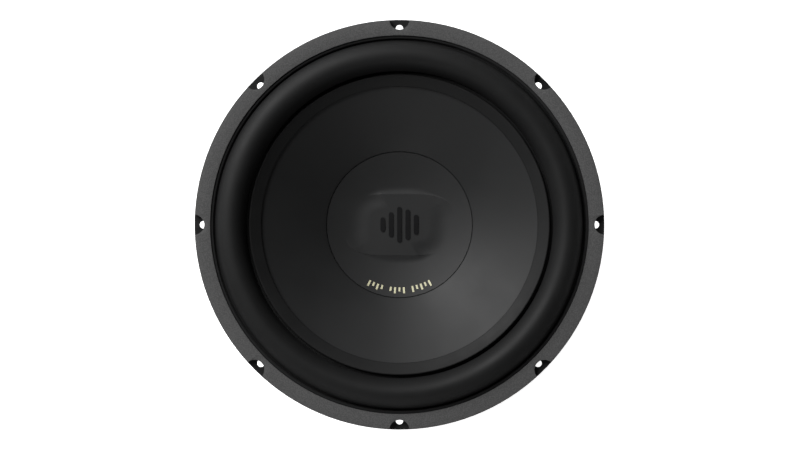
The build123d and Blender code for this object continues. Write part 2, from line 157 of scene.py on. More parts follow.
def band_outline(line: np.ndarray, wall: float | np.ndarray) -> np.ndarray:
    """The closed outline of a sheet: its middle line moved half a wall to each side.

    Each end is a half circle. Running along the right side and back along the left makes the
    outline turn anticlockwise.

    Args:
        line: the sheet's middle line, two numbers for each point.
        wall: the sheet's thickness, one number or one for each point of the line.

    Returns:
        The outline's points, without a repeated last one.
    """
    along = np.gradient(line, axis=0)
    along /= np.linalg.norm(along, axis=1, keepdims=True)
    left = np.stack([-along[:, 1], along[:, 0]], axis=1)
    half = np.broadcast_to(np.asarray(wall) / 2, len(line))[:, None]
    angle = np.linspace(-90, 90, 7)[1:-1, None] * math.pi / 180
    nose = line[-1] + half[-1] * (along[-1] * np.cos(angle) + left[-1] * np.sin(angle))
    tail = line[0] + half[0] * (-along[0] * np.cos(angle) - left[0] * np.sin(angle))
    return np.concatenate([line - left * half, nose, (line + left * half)[::-1], tail])


def dense(line: np.ndarray, step: float) -> np.ndarray:
    """The same line with extra points, so that no run is longer than a step."""
    lengths = np.linalg.norm(np.diff(line, axis=0), axis=1)
    counts = np.maximum(np.ceil(lengths / step).astype(int), 1)
    share = np.concatenate([np.arange(count) / count for count in counts])
    start = np.repeat(np.arange(len(counts)), counts)
    inner = line[start] + (line[start + 1] - line[start]) * share[:, None]
    return np.concatenate([inner, line[-1:]])


def mesh_object(name: str, points: np.ndarray, faces: list, sharp: float = 40.0,
                uv: np.ndarray | None = None) -> bpy.types.Object:
    """A smooth-shaded mesh object from whole arrays.

    Args:
        name: the piece's name.
        points: the points in metres, three numbers each.
        faces: arrays of point numbers, one array for each number of corners.
        sharp: edges that turn by more than this many degrees stay crisp.
        uv: two numbers for each point, or None.

    Returns:
        The object, linked to the scene at the origin.
    """
    mesh = bpy.data.meshes.new(name)
    loops = np.concatenate([block.ravel() for block in faces]).astype(np.int32)
    sizes = np.concatenate([np.full(len(block), block.shape[1]) for block in faces])
    mesh.vertices.add(len(points))
    mesh.vertices.foreach_set("co", np.ascontiguousarray(points, np.float32).ravel())
    mesh.loops.add(len(loops))
    mesh.loops.foreach_set("vertex_index", loops)
    mesh.polygons.add(len(sizes))
    mesh.polygons.foreach_set("loop_start", (np.cumsum(sizes) - sizes).astype(np.int32))
    mesh.update(calc_edges=True)
    mesh.polygons.foreach_set("use_smooth", np.ones(len(sizes), bool))
    if uv is not None:
        layer = mesh.uv_layers.new(name="surface")
        layer.data.foreach_set("uv", uv[loops].astype(np.float32).ravel())
    mesh.set_sharp_from_angle(angle=math.radians(sharp))
    piece = bpy.data.objects.new(name, mesh)
    bpy.context.scene.collection.objects.link(piece)
    return piece


def ring_surface(name: str, angle: np.ndarray, radius: np.ndarray, height: np.ndarray,
                 sharp: float = 40.0) -> bpy.types.Object:
    """A closed ring whose section may change round the axis.

    A section point at radius r and height z goes to (r cos a, r sin a, z) at the angle a. The
    UV map holds the arc length round the axis and the length along the section, in metres.

    Args:
        name: the piece's name.
        angle: the angles, once round and without a repeated last one.
        radius: the radius of each section point, one row for each angle, anticlockwise.
        height: the height of each section point, in the same order.
        sharp: edges that turn by more than this many degrees stay crisp.

    Returns:
        The ring as an object.
    """
    cosine, sine = np.cos(angle)[:, None], np.sin(angle)[:, None]
    points = np.stack([radius * cosine, radius * sine, height], axis=-1).reshape(-1, 3)
    steps = np.hypot(np.diff(radius[0]), np.diff(height[0]))
    length = np.concatenate([[0], np.cumsum(steps)])
    uv = np.stack(np.meshgrid(angle * radius.mean(), length, indexing="ij"), axis=-1).reshape(-1, 2)
    return mesh_object(name, points, [grid_faces(*radius.shape, True, True)], sharp, uv)


def revolve(name: str, outline: np.ndarray, segments: int = 288, sharp: float = 40.0) -> bpy.types.Object:
    """A closed ring with one section all the way round.

    Args:
        name: the piece's name.
        outline: the section's points, radius and height, anticlockwise, without a repeated last one.
        segments: how many angles there are.
        sharp: edges that turn by more than this many degrees stay crisp.

    Returns:
        The ring as an object.
    """
    angle = np.arange(segments) * TURN / segments
    shape = (segments, len(outline))
    radius, height = np.broadcast_to(outline[:, 0], shape), np.broadcast_to(outline[:, 1], shape)
    return ring_surface(name, angle, radius, height, sharp)


def tube(name: str, path: np.ndarray, radius: np.ndarray, around: int) -> bpy.types.Object:
    """A closed tube along a path, whose radius may change over its whole surface.

    Each point of the path carries a circle in the plane square to the path. The circle's first
    axis is the world's Y axis made square to the path. The two ends are closed by one face each.

    Args:
        name: the piece's name.
        path: the points of the path, three numbers each.
        radius: the radius at each path point and each angle.
        around: how many angles there are.

    Returns:
        The tube as an object.
    """
    along = np.gradient(path, axis=0)
    along /= np.linalg.norm(along, axis=1, keepdims=True)
    first = np.array([0.0, 1.0, 0.0]) - along * along[:, 1:2]
    first /= np.linalg.norm(first, axis=1, keepdims=True)
    second = np.cross(along, first)
    angle = np.arange(around) * TURN / around
    circle = first[:, None] * np.cos(angle)[:, None] + second[:, None] * np.sin(angle)[:, None]
    points = (path[:, None] + circle * radius[..., None]).reshape(-1, 3)
    length = np.concatenate([[0], np.cumsum(np.linalg.norm(np.diff(path, axis=0), axis=1))])
    uv = np.stack(np.meshgrid(length, angle / TURN, indexing="ij"), axis=-1).reshape(-1, 2)
    quads = grid_faces(len(path), around, False, True)[:, ::-1]
    ends = np.stack([np.arange(around)[::-1], np.arange(around) + (len(path) - 1) * around])
    return mesh_object(name, points, [quads, ends], 50.0, uv)


# ---------------------------------------------------------------- finishes


class Recipe:
    """A material being made: its node tree, with short ways to add what the finishes share."""

    def __init__(self, name: str) -> None:
        """Starts an empty material with an output and Object coordinates."""
        self.material = bpy.data.materials.new(name)
        self.material.use_nodes = True
        self.tree = self.material.node_tree
        self.tree.nodes.clear()
        self.output = self.node("OutputMaterial")
        coordinates = self.node("TexCoord")
        self.place = self.node("Mapping", {"Vector": coordinates.outputs["Object"]}).outputs[0]
        self.uv = coordinates.outputs["UV"]

    def node(self, kind: str, inputs: dict | None = None, **settings: object) -> bpy.types.Node:
        """Adds a node.

        Args:
            kind: the node's type, without the word ShaderNode.
            inputs: a value or a socket to link, by input name or number.
            settings: properties of the node, by name.

        Returns:
            The node.
        """
        made = self.tree.nodes.new("ShaderNode" + kind)
        for key, setting in settings.items():
            setattr(made, key, setting)
        for key, value in (inputs or {}).items():
            if isinstance(value, bpy.types.NodeSocket):
                self.tree.links.new(value, made.inputs[key])
            else:
                made.inputs[key].default_value = value
        return made

    def noise(self, scale: float, detail: float = 3.0, vector: Value | None = None) -> Value:
        """Cloudy noise from 0 to 1, with so many cells to the metre."""
        return self.node(
            "TexNoise",
            {"Vector": self.place if vector is None else vector, "Scale": scale, "Detail": detail},
        ).outputs["Fac"]

    def math(self, operation: str, first: Value, second: Value = 0.0, third: Value = 0.0) -> Value:
        """One sum on up to three numbers."""
        return self.node("Math", {0: first, 1: second, 2: third}, operation=operation).outputs[0]

    def spread(self, value: Value, low: float, high: float, out_low: float = 0.0,
               out_high: float = 1.0) -> Value:
        """Stretches the part of a value between low and high to another range."""
        inputs = {"Value": value, "From Min": low, "From Max": high, "To Min": out_low, "To Max": out_high}
        return self.node("MapRange", inputs).outputs["Result"]

    def mix(self, share: Value, first: Value, second: Value) -> Value:
        """A colour between two others, by a share from 0 to 1."""
        mixer = self.node("Mix", {"Factor": share}, data_type="RGBA")
        for number, colour in ((6, first), (7, second)):
            if isinstance(colour, bpy.types.NodeSocket):
                self.tree.links.new(colour, mixer.inputs[number])
            else:
                mixer.inputs[number].default_value = (*colour, 1.0)
        return mixer.outputs[2]

    def bump(
        self, height: Value, distance: float, strength: float = 1.0, below: Value | None = None
    ) -> Value:
        """A bumped normal, so many metres high where the height is 1."""
        inputs = {"Height": height, "Distance": distance, "Strength": strength}
        if below is not None:
            inputs["Normal"] = below
        return self.node("Bump", inputs).outputs["Normal"]

    def radius(self) -> Value:
        """The distance from the driver's axis, in metres."""
        parts = self.node("SeparateXYZ", {0: self.place})
        flat = self.node("CombineXYZ", {0: parts.outputs[0], 1: parts.outputs[1]}).outputs[0]
        return self.node("VectorMath", {0: flat}, operation="LENGTH").outputs["Value"]

    def close(self, colour: Value, roughness: Value, normal: Value, **sockets: float) -> bpy.types.Material:
        """Ends the material in one Principled shader.

        Args:
            colour: the base colour.
            roughness: the roughness.
            normal: the bumped normal.
            sockets: plain values for other inputs, with underscores for spaces.

        Returns:
            The material.
        """
        shader = self.node("BsdfPrincipled", {"Roughness": roughness, "Normal": normal, "Base Color": colour})
        for key, value in sockets.items():
            shader.inputs[key.replace("_", " ")].default_value = value
        self.tree.links.new(shader.outputs[0], self.output.inputs["Surface"])
        return self.material


def shade(colour: tuple, factor: float) -> tuple:
    """The same colour, lighter or darker by a factor."""
    return tuple(part * factor for part in colour)


@dataclass(frozen=True)
class Moulded:
    """Rubber, foam or plastic from a mould: fine grain, faint mottling and a handled sheen."""

    colour: tuple
    roughness: float
    specular: float
    grain_size: float
    grain_height: float
    mottle: float = 0.12
    mottle_size: float = 18 * MM
    speckle: float = 0.1
    dust: float = 0.0

    def make(self, name: str) -> bpy.types.Material:
        """Builds the material: noise grain in the bump, slow noise in colour and roughness."""
        recipe = Recipe(name)
        slow = recipe.noise(1 / self.mottle_size, 4.0)
        fine = recipe.noise(1 / self.grain_size, 2.0)
        coarse = recipe.noise(0.31 / self.grain_size, 3.0)
        patch = recipe.spread(slow, 0.3, 0.7)
        colour = recipe.mix(patch, shade(self.colour, 1 - self.mottle), shade(self.colour, 1 + self.mottle))
        speck = recipe.spread(fine, 0.42, 0.62)
        colour = recipe.mix(recipe.math("MULTIPLY", speck, self.speckle), colour, shade(self.colour, 1.8))
        if self.dust > 0:
            lint = recipe.spread(recipe.noise(520.0, 5.0), 0.66, 0.74, 0.0, self.dust)
            colour = recipe.mix(lint, colour, (0.16, 0.155, 0.15))
        roughness = recipe.spread(slow, 0.25, 0.75, self.roughness - 0.05, self.roughness + 0.05)
        height = recipe.math("MULTIPLY_ADD", coarse, 0.5, fine)
        normal = recipe.bump(height, self.grain_height)
        return recipe.close(colour, roughness, normal, Specular_IOR_Level=self.specular)


@dataclass(frozen=True)
class PowderCoat:
    """Black powder paint on pressed steel: orange-peel skin, rubbed lighter in places."""

    colour: tuple

    def make(self, name: str) -> bpy.types.Material:
        """Builds the material: two sizes of rounded bumps, and wear from slow noise."""
        recipe = Recipe(name)
        peel = recipe.noise(900.0, 1.0)
        ripple = recipe.noise(260.0, 2.0)
        slow = recipe.noise(22.0, 5.0)
        wear = recipe.spread(slow, 0.56, 0.78, 0.0, 0.35)
        colour = recipe.mix(wear, self.colour, shade(self.colour, 2.4))
        fleck = recipe.spread(recipe.noise(1500.0, 2.0), 0.64, 0.7, 0.0, 0.5)
        colour = recipe.mix(fleck, colour, shade(self.colour, 3.0))
        roughness = recipe.spread(slow, 0.3, 0.75, 0.34, 0.52)
        height = recipe.math("MULTIPLY_ADD", ripple, 0.8, peel)
        normal = recipe.bump(height, 0.09 * MM)
        return recipe.close(colour, roughness, normal, Specular_IOR_Level=0.32)


@dataclass(frozen=True)
class Turned:
    """Metal cut or brushed round the driver's axis, with fine rings and a stained skin."""

    colour: tuple
    roughness: float
    ring_size: float = 0.35 * MM
    stain: float = 0.25

    def make(self, name: str) -> bpy.types.Material:
        """Builds the material: noise along the radius and the height makes the rings."""
        recipe = Recipe(name)
        parts = recipe.node("SeparateXYZ", {0: recipe.place})
        spot = recipe.node("CombineXYZ", {0: recipe.radius(), 1: parts.outputs[2]}).outputs[0]
        rings = recipe.noise(1 / self.ring_size, 4.0, spot)
        slow = recipe.noise(35.0, 5.0)
        stain = recipe.spread(slow, 0.45, 0.8, 0.0, self.stain)
        colour = recipe.mix(rings, shade(self.colour, 0.86), shade(self.colour, 1.1))
        colour = recipe.mix(stain, colour, shade(self.colour, 0.45))
        roughness = recipe.math("MULTIPLY_ADD", slow, 0.25, self.roughness - 0.1)
        normal = recipe.bump(rings, 0.02 * MM)
        return recipe.close(colour, roughness, normal, Metallic=1.0)


@dataclass(frozen=True)
class PlainMetal:
    """Plated or drawn small metal parts: scuffed plating, a little tarnish in the colour."""

    colour: tuple
    roughness: float
    scuff_size: float = 1.4 * MM

    def make(self, name: str) -> bpy.types.Material:
        """Builds the material: noise scuffs in roughness and bump, slower noise for tarnish."""
        recipe = Recipe(name)
        scuff = recipe.noise(1 / self.scuff_size, 6.0)
        slow = recipe.noise(120.0, 3.0)
        colour = recipe.mix(recipe.spread(slow, 0.3, 0.75), shade(self.colour, 0.72), self.colour)
        roughness = recipe.spread(scuff, 0.3, 0.7, self.roughness - 0.08, self.roughness + 0.12)
        normal = recipe.bump(scuff, 0.02 * MM)
        return recipe.close(colour, roughness, normal, Metallic=1.0)


@dataclass(frozen=True)
class Ferrite:
    """Sintered ferrite: a dull grey with ground marks, pits and small pale chips."""

    colour: tuple

    def make(self, name: str) -> bpy.types.Material:
        """Builds the material: cell noise makes the pits, slow noise the grinding patches."""
        recipe = Recipe(name)
        pits = recipe.node("TexVoronoi", {"Vector": recipe.place, "Scale": 700.0}).outputs["Distance"]
        slow = recipe.noise(60.0, 6.0)
        fine = recipe.noise(2600.0, 2.0)
        colour = recipe.mix(recipe.spread(slow, 0.3, 0.7), shade(self.colour, 0.75), shade(self.colour, 1.3))
        chip = recipe.spread(pits, 0.06, 0.0, 0.0, 0.8)
        colour = recipe.mix(chip, colour, shade(self.colour, 3.5))
        height = recipe.math("MULTIPLY_ADD", fine, 0.4, pits)
        normal = recipe.bump(height, 0.12 * MM)
        return recipe.close(colour, recipe.spread(slow, 0.2, 0.8, 0.5, 0.72), normal, Specular_IOR_Level=0.5)


@dataclass(frozen=True)
class Woven:
    """Varnished cloth, woven round and across the disc, with painted shade in the valleys between threads and
    darker patches where the varnish pools.
    """

    light: tuple
    dark: tuple
    thread: float

    def make(self, name: str) -> bpy.types.Material:
        """Builds the material: one sine along each thread direction of the surface's UV map; the same height
        paints shade into the valleys between threads.
        """
        recipe = Recipe(name)
        parts = recipe.node("SeparateXYZ", {0: recipe.uv})
        pace = math.pi / self.thread
        warp = recipe.math("SINE", recipe.math("MULTIPLY", parts.outputs[0], pace))
        weft = recipe.math("SINE", recipe.math("MULTIPLY", parts.outputs[1], pace))
        cross = recipe.math("MULTIPLY", warp, weft)
        raised = recipe.math("ABSOLUTE", cross)
        slow = recipe.noise(70.0, 4.0)
        # Painted shade: the colour darkens from the thread crowns into the valleys between threads.
        colour = recipe.mix(recipe.spread(raised, 0.0, 0.8), self.dark, self.light)
        colour = recipe.mix(recipe.spread(slow, 0.35, 0.75, 0.0, 0.55), colour, self.dark)
        roughness = recipe.spread(slow, 0.2, 0.8, 0.75, 0.5)
        normal = recipe.bump(raised, 0.12 * MM)
        return recipe.close(colour, roughness, normal, Specular_IOR_Level=0.3)


@dataclass(frozen=True)
class Wound:
    """Enamelled wire in even turns along the axis."""

    colour: tuple
    pitch: float

    def make(self, name: str) -> bpy.types.Material:
        """Builds the material: the height's sine rounds each turn and paints shade into the groove between
        turns, and noise tints the enamel.
        """
        recipe = Recipe(name)
        parts = recipe.node("SeparateXYZ", {0: recipe.place})
        wave = recipe.math("SINE", recipe.math("MULTIPLY", parts.outputs[2], TURN / self.pitch))
        slow = recipe.noise(160.0, 3.0)
        # Painted shade: the colour darkens into the groove between turns, following the bump's sine.
        colour = recipe.mix(recipe.spread(wave, -1.0, 0.2), shade(self.colour, 0.35), self.colour)
        colour = recipe.mix(recipe.spread(slow, 0.4, 0.8, 0.0, 0.5), colour, shade(self.colour, 0.6))
        normal = recipe.bump(wave, 0.06 * MM)
        return recipe.close(colour, recipe.spread(slow, 0.2, 0.8, 0.22, 0.4), normal, Metallic=1.0)


@dataclass(frozen=True)
class Braided:
    """Tinned copper braid: tarnish between the strands, bright on their crowns."""

    colour: tuple

    def make(self, name: str) -> bpy.types.Material:
        """Builds the material: fine noise along the braid for single wires, slow noise for tarnish."""
        recipe = Recipe(name)
        wires = recipe.noise(5200.0, 2.0)
        slow = recipe.noise(400.0, 3.0)
        colour = recipe.mix(recipe.spread(wires, 0.3, 0.65), shade(self.colour, 0.4), self.colour)
        colour = recipe.mix(recipe.spread(slow, 0.45, 0.8, 0.0, 0.5), colour, shade(self.colour, 0.45))
        normal = recipe.bump(wires, 0.08 * MM)
        return recipe.close(colour, recipe.spread(slow, 0.2, 0.8, 0.3, 0.5), normal, Metallic=1.0)


class Finish(Enum):
    """Every finish on the driver, by what it is used for."""

    GASKET = Moulded((0.0512, 0.0511, 0.0512), 0.85, 0.25, 0.85 * MM, 0.18 * MM, 0.03, 30 * MM, 0.55)
    SURROUND = Moulded((0.0078, 0.0079, 0.0080), 0.59, 0.15, 0.35 * MM, 0.010 * MM, 0.08)
    CONE = Moulded((0.0115, 0.0117, 0.0119), 0.58, 0.25, 0.45 * MM, 0.008 * MM, 0.05, 40 * MM)
    CAP = Moulded((0.0124, 0.0126, 0.0128), 0.58, 0.26, 0.45 * MM, 0.008 * MM, 0.05, 40 * MM)
    EMBLEM = Moulded((0.0040, 0.0040, 0.0044), 0.46, 0.16, 0.8 * MM, 0.004 * MM, 0.05)
    STEEL = PowderCoat((0.0065, 0.0065, 0.0068))
    BOOT = Moulded((0.016, 0.016, 0.0165), 0.62, 0.35, 0.8 * MM, 0.06 * MM, 0.16, 25 * MM, 0.1, 0.25)
    PLATE = Turned((0.30, 0.30, 0.31), 0.40)
    FERRITE = Ferrite((0.045, 0.045, 0.048))
    RIVET = PlainMetal((0.55, 0.55, 0.57), 0.34)
    SPIDER = Woven((0.42, 0.235, 0.075), (0.17, 0.078, 0.022), 0.85 * MM)
    FORMER = Turned((0.62, 0.62, 0.64), 0.4, 0.8 * MM)
    COIL = Wound((0.50, 0.17, 0.06), 0.5 * MM)
    BRAID = Braided((0.62, 0.47, 0.34))
    GLUE = Moulded((0.010, 0.010, 0.010), 0.28, 0.5, 2.5 * MM, 0.05 * MM, 0.15)
    BLOCK = Moulded((0.014, 0.014, 0.015), 0.5, 0.42, 0.6 * MM, 0.04 * MM, 0.12, 12 * MM)
    RED = Moulded((0.42, 0.014, 0.010), 0.42, 0.45, 0.6 * MM, 0.02 * MM, 0.10, 8 * MM)
    BLACK = Moulded((0.016, 0.016, 0.017), 0.40, 0.45, 0.6 * MM, 0.02 * MM, 0.10, 8 * MM)
    BRASS = PlainMetal((0.72, 0.50, 0.20), 0.30)
    SPRING = PlainMetal((0.60, 0.60, 0.60), 0.28, 0.5 * MM)
    SOLDER = PlainMetal((0.66, 0.66, 0.67), 0.22, 0.8 * MM)
    GOLD = Moulded((0.45, 0.43, 0.285), 0.5, 0.4, 0.5 * MM, 0.01 * MM, 0.06, 4 * MM)

    def material(self) -> bpy.types.Material:
        """The finish's material, made the first time it is asked for."""
        name = f"{self.name.lower()}_look"
        return bpy.data.materials.get(name) or self.value.make(name)


def dress(piece: bpy.types.Object, finish: Finish) -> bpy.types.Object:
    """Gives a piece its only material."""
    piece.data.materials.clear()
    piece.data.materials.append(finish.material())
    return piece


def dress_nodes(names: list, finish: Finish) -> None:
    """Gives carried-over CAD nodes their material."""
    for name in names:
        dress(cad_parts[name], finish)


def blend_round(piece: bpy.types.Object) -> None:
    """Bakes a ring's placement into its mesh and reads its points back; it sets no bending.

    Args:
        piece: the ring, with no parent.
    """
    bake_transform(piece)
    points = np.empty(len(piece.data.vertices) * 3, np.float32)
    piece.data.vertices.foreach_get("co", points)


# ---------------------------------------------------------------- sub-assemblies


@dataclass
class Diaphragm:
    """The moving dish: cone, dust cap with its raised pad, emblem and gold scale."""

    wall: float = 1.1 * MM
    rim_r: float = 112.7 * MM
    rim_z: float = 2.0 * MM
    rim_setback: float = 0.4 * MM
    slope: float = math.radians(27.0)
    neck_r: float = 26.0 * MM
    collar: float = 4.0 * MM
    groove: float = 0.75 * MM
    step: float = 1.4 * MM
    cap_r: float = 54.9 * MM
    cap_slope: float = math.radians(18.0)
    cap_wall: float = 1.0 * MM
    pad_half_length: float = 40.5 * MM
    pad_half_width: float = 23.2 * MM
    pad_rise: float = 3.6 * MM
    pad_skirt: float = 6.5 * MM
    pad_crease: float = 1.1 * MM
    pad_hair: float = 0.38 * MM
    pad_lean: float = math.radians(74.0)
    tick_groups: tuple = (4, 4, 5)
    tick_height: float = 4.6 * MM
    tick_width: float = 1.45 * MM
    tick_circle_r: float = 49.7 * MM
    tick_spread: float = math.radians(55.0)
    tick_relief: float = 0.14 * MM

    def front_z(self, radius: float) -> float:
        """Height of the cone's front face: the rim's height, less the slope times the run."""
        return self.rim_z - (self.rim_r - radius) * math.tan(self.slope)

    def build_cone(self) -> bpy.types.Object:
        """The cone: a sheet that steps down under the cap and ends in a collar on the former."""
        middle = -self.wall / math.cos(self.slope) / 2
        seat_r = self.cap_r + self.groove
        seat_z = self.front_z(seat_r) + middle
        neck_z = self.front_z(self.neck_r) + middle - self.step
        corners = [
            (self.neck_r, neck_z - self.collar),
            (self.neck_r, neck_z),
            (seat_r, seat_z - self.step),
            (seat_r + 0.25 * MM, seat_z),
            (self.rim_r - self.rim_setback, self.front_z(self.rim_r - self.rim_setback) + middle),
        ]
        line = dense(rounded_line(corners, [1.2 * MM, 0.15 * MM, 0.15 * MM], 4), 3 * MM)
        return revolve("cone_shell", band_outline(line, self.wall), 360)

    def bowl_z(self, radius: np.ndarray) -> np.ndarray:
        """Height of the cap's bowl: a sphere that meets the cap's rim at the cap's own slope."""
        ball = self.cap_r / math.sin(self.cap_slope)
        return self.front_z(self.cap_r) + ball * math.cos(self.cap_slope) - np.sqrt(ball**2 - radius**2)

    def pad_edge(self, angle: np.ndarray) -> np.ndarray:
        """Distance from the centre to the pad's rounded outline, at each angle.

        The outline is a superellipse: x and y over the half sizes, each to the same power,
        add up to one.
        """
        power = 3.6
        across = np.abs(np.cos(angle) / self.pad_half_length) ** power
        upward = np.abs(np.sin(angle) / self.pad_half_width) ** power
        return (across + upward) ** (-1 / power)

    def crispness(self, angle: np.ndarray) -> np.ndarray:
        """One along the pad's two crisp edges, none at its two soft corners: a clipped cosine."""
        return np.clip((np.cos(2 * (angle - self.pad_lean)) + 0.65) / 0.6, 0, 1)

    def pad_top(self, radius: np.ndarray, angle: np.ndarray) -> np.ndarray:
        """Height of the pad: flat, then a hair above the bowl where the bowl rises past it.

        The hair fades out at the two soft corners. The two heights are joined by a smooth
        maximum: half their sum plus half the root of their squared difference and a small
        constant.
        """
        flat = self.bowl_z(np.zeros(1)) + self.pad_rise
        bowl = self.bowl_z(radius) + self.pad_hair * self.crispness(angle)
        softness = 0.7 * MM
        return (flat + bowl + np.sqrt((flat - bowl) ** 2 + softness**2) - softness * 0.4) / 2

    def build_cap(self) -> bpy.types.Object:
        """The dust cap: rings that follow the pad's outline, then its skirt, then the round rim.

        The skirt falls from the pad to the bowl as the square of the distance left, so it is
        crisp at the pad's edge and soft where it meets the bowl. It is wide above and below the
        pad and narrows to a crease round the ends. At the two soft corners the pad sinks away
        into the bowl before its edge. The back is the bowl moved down by the wall.
        """
        segments = 360
        angle = np.arange(segments) * TURN / segments
        edge = self.pad_edge(angle)
        inner = np.linspace(0.02, 1, 34)[:, None] * edge
        steep = np.clip((np.abs(np.sin(angle)) - 0.55) / 0.4, 0, 1)
        skirt_end = self.pad_crease + (self.pad_skirt - self.pad_crease) * steep**2 * (3 - 2 * steep)
        skirt = edge + np.linspace(0, 1, 15)[1:, None] * skirt_end
        outer = skirt[-1] + np.linspace(0, 1, 15)[1:, None] * (self.cap_r - skirt[-1])
        top_r = np.concatenate([inner, skirt, outer])
        lift = np.maximum(self.pad_top(top_r, angle) - self.bowl_z(top_r), 0)
        near = np.clip((top_r / edge - 0.55) / 0.45, 0, 1)
        lift = lift * (1 - 0.9 * (1 - self.crispness(angle)) * near**2 * (3 - 2 * near))
        beyond = np.clip((top_r - edge) / skirt_end, 0, 1)
        top_z = self.bowl_z(top_r) + lift * (1 - beyond) ** 2
        back_r = np.linspace(self.cap_r, 1 * MM, 24)[:, None] * np.ones(segments)
        back_z = self.bowl_z(back_r) - self.cap_wall
        radius, height = np.concatenate([top_r, back_r]), np.concatenate([top_z, back_z])
        points = np.stack([radius * np.cos(angle), radius * np.sin(angle), height], axis=-1).reshape(-1, 3)
        centres = np.array([[0, 0, self.pad_top(np.zeros(1), np.zeros(1))[0]],
                            [0, 0, self.bowl_z(np.zeros(1))[0] - self.cap_wall]])
        count = len(points)
        around = np.arange(segments)
        last = (len(radius) - 1) * segments
        fan_top = np.stack([np.full(segments, count), around, (around + 1) % segments], axis=1)
        fan_back = np.stack(
            [np.full(segments, count + 1), last + (around + 1) % segments, last + around], axis=1
        )
        faces = [grid_faces(len(radius), segments, False, True), np.concatenate([fan_top, fan_back])]
        return mesh_object("cap_shell", np.concatenate([points, centres]), faces, 14.0)

    def build_ticks(self) -> bpy.types.Object:
        """The gold scale: small raised bars on an arc below the pad, in three groups.

        Each bar is a box in radius, sideways and height, whose height follows the bowl.
        """
        slots = sum(self.tick_groups) + len(self.tick_groups) - 1
        places = np.arange(slots)
        gaps = np.cumsum(self.tick_groups)[:-1] + np.arange(len(self.tick_groups) - 1)
        places = np.delete(places, gaps)
        angle = -math.pi / 2 + (places / (slots - 1) - 0.5) * self.tick_spread
        short = np.where(places % 2 == 0, 1.0, 0.68)
        outward, sideways, upward = np.meshgrid([0, 0.5, 1], [-0.5, 0.5], [-0.3, 1.0], indexing="ij")
        outward, sideways, upward = (part.ravel() for part in (outward, sideways, upward))
        radius = self.tick_circle_r + self.tick_height * (short[:, None] * outward - 0.5)
        offset = np.broadcast_to(sideways * self.tick_width, radius.shape)
        height = self.bowl_z(np.hypot(radius, offset)) + upward * self.tick_relief
        cosine, sine = np.cos(angle)[:, None], np.sin(angle)[:, None]
        points = np.stack([radius * cosine - offset * sine, radius * sine + offset * cosine, height], axis=-1)
        box = np.array([[1, 3, 2, 0], [0, 4, 5, 1], [4, 8, 9, 5], [3, 7, 6, 2], [7, 11, 10, 6],
                        [1, 5, 7, 3], [5, 9, 11, 7], [0, 2, 6, 4], [4, 6, 10, 8], [8, 10, 11, 9]])
        faces = (box[None] + np.arange(len(angle))[:, None, None] * 12).reshape(-1, 4)
        ticks = mesh_object("gold_scale", points.reshape(-1, 3), [faces], 30.0)
        bevel = ticks.modifiers.new("rounding", "BEVEL")
        bevel.width, bevel.segments = 0.05 * MM, 2
        return ticks

    def build_glue(self) -> bpy.types.Object:
        """The bead of adhesive that fills the corner between the cone's collar and the former."""
        neck_z = self.front_z(self.neck_r) - self.step - self.collar
        former_r = 25.42 * MM
        angle = np.linspace(0, math.pi / 2, 8)
        reach = 2.2 * MM
        glue_gap = 0.5 * MM
        hollow_r = former_r + reach * (1 - np.sin(angle)) + glue_gap
        hollow = np.stack([hollow_r, neck_z - reach * (1 - np.cos(angle))], 1)
        outline = np.concatenate([[[former_r, neck_z - reach]], [[former_r, neck_z]], hollow])
        return revolve("neck_glue", outline[::-1], 180)

    def build(self) -> None:
        """Builds and dresses the diaphragm, and lets it ride on the cone's body."""
        cone = dress(self.build_cone(), Finish.CONE)
        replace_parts(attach(cone, Body.CONE.value), "cone")
        cap = dress(self.build_cap(), Finish.CAP)
        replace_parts(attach(cap, Body.CONE.value), "dust_cap")
        ticks = dress(self.build_ticks(), Finish.GOLD)
        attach(ticks, Body.CONE.value)
        glue = dress(self.build_glue(), Finish.GLUE)
        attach(glue, Body.CONE.value)
        dress_nodes(["emblem_bars"], Finish.EMBLEM)
        dress_nodes(["coil_former"], Finish.FORMER)
        dress_nodes(["voice_coil"], Finish.COIL)
        log.info("diaphragm: %d quads in the cap", len(cap.data.polygons))


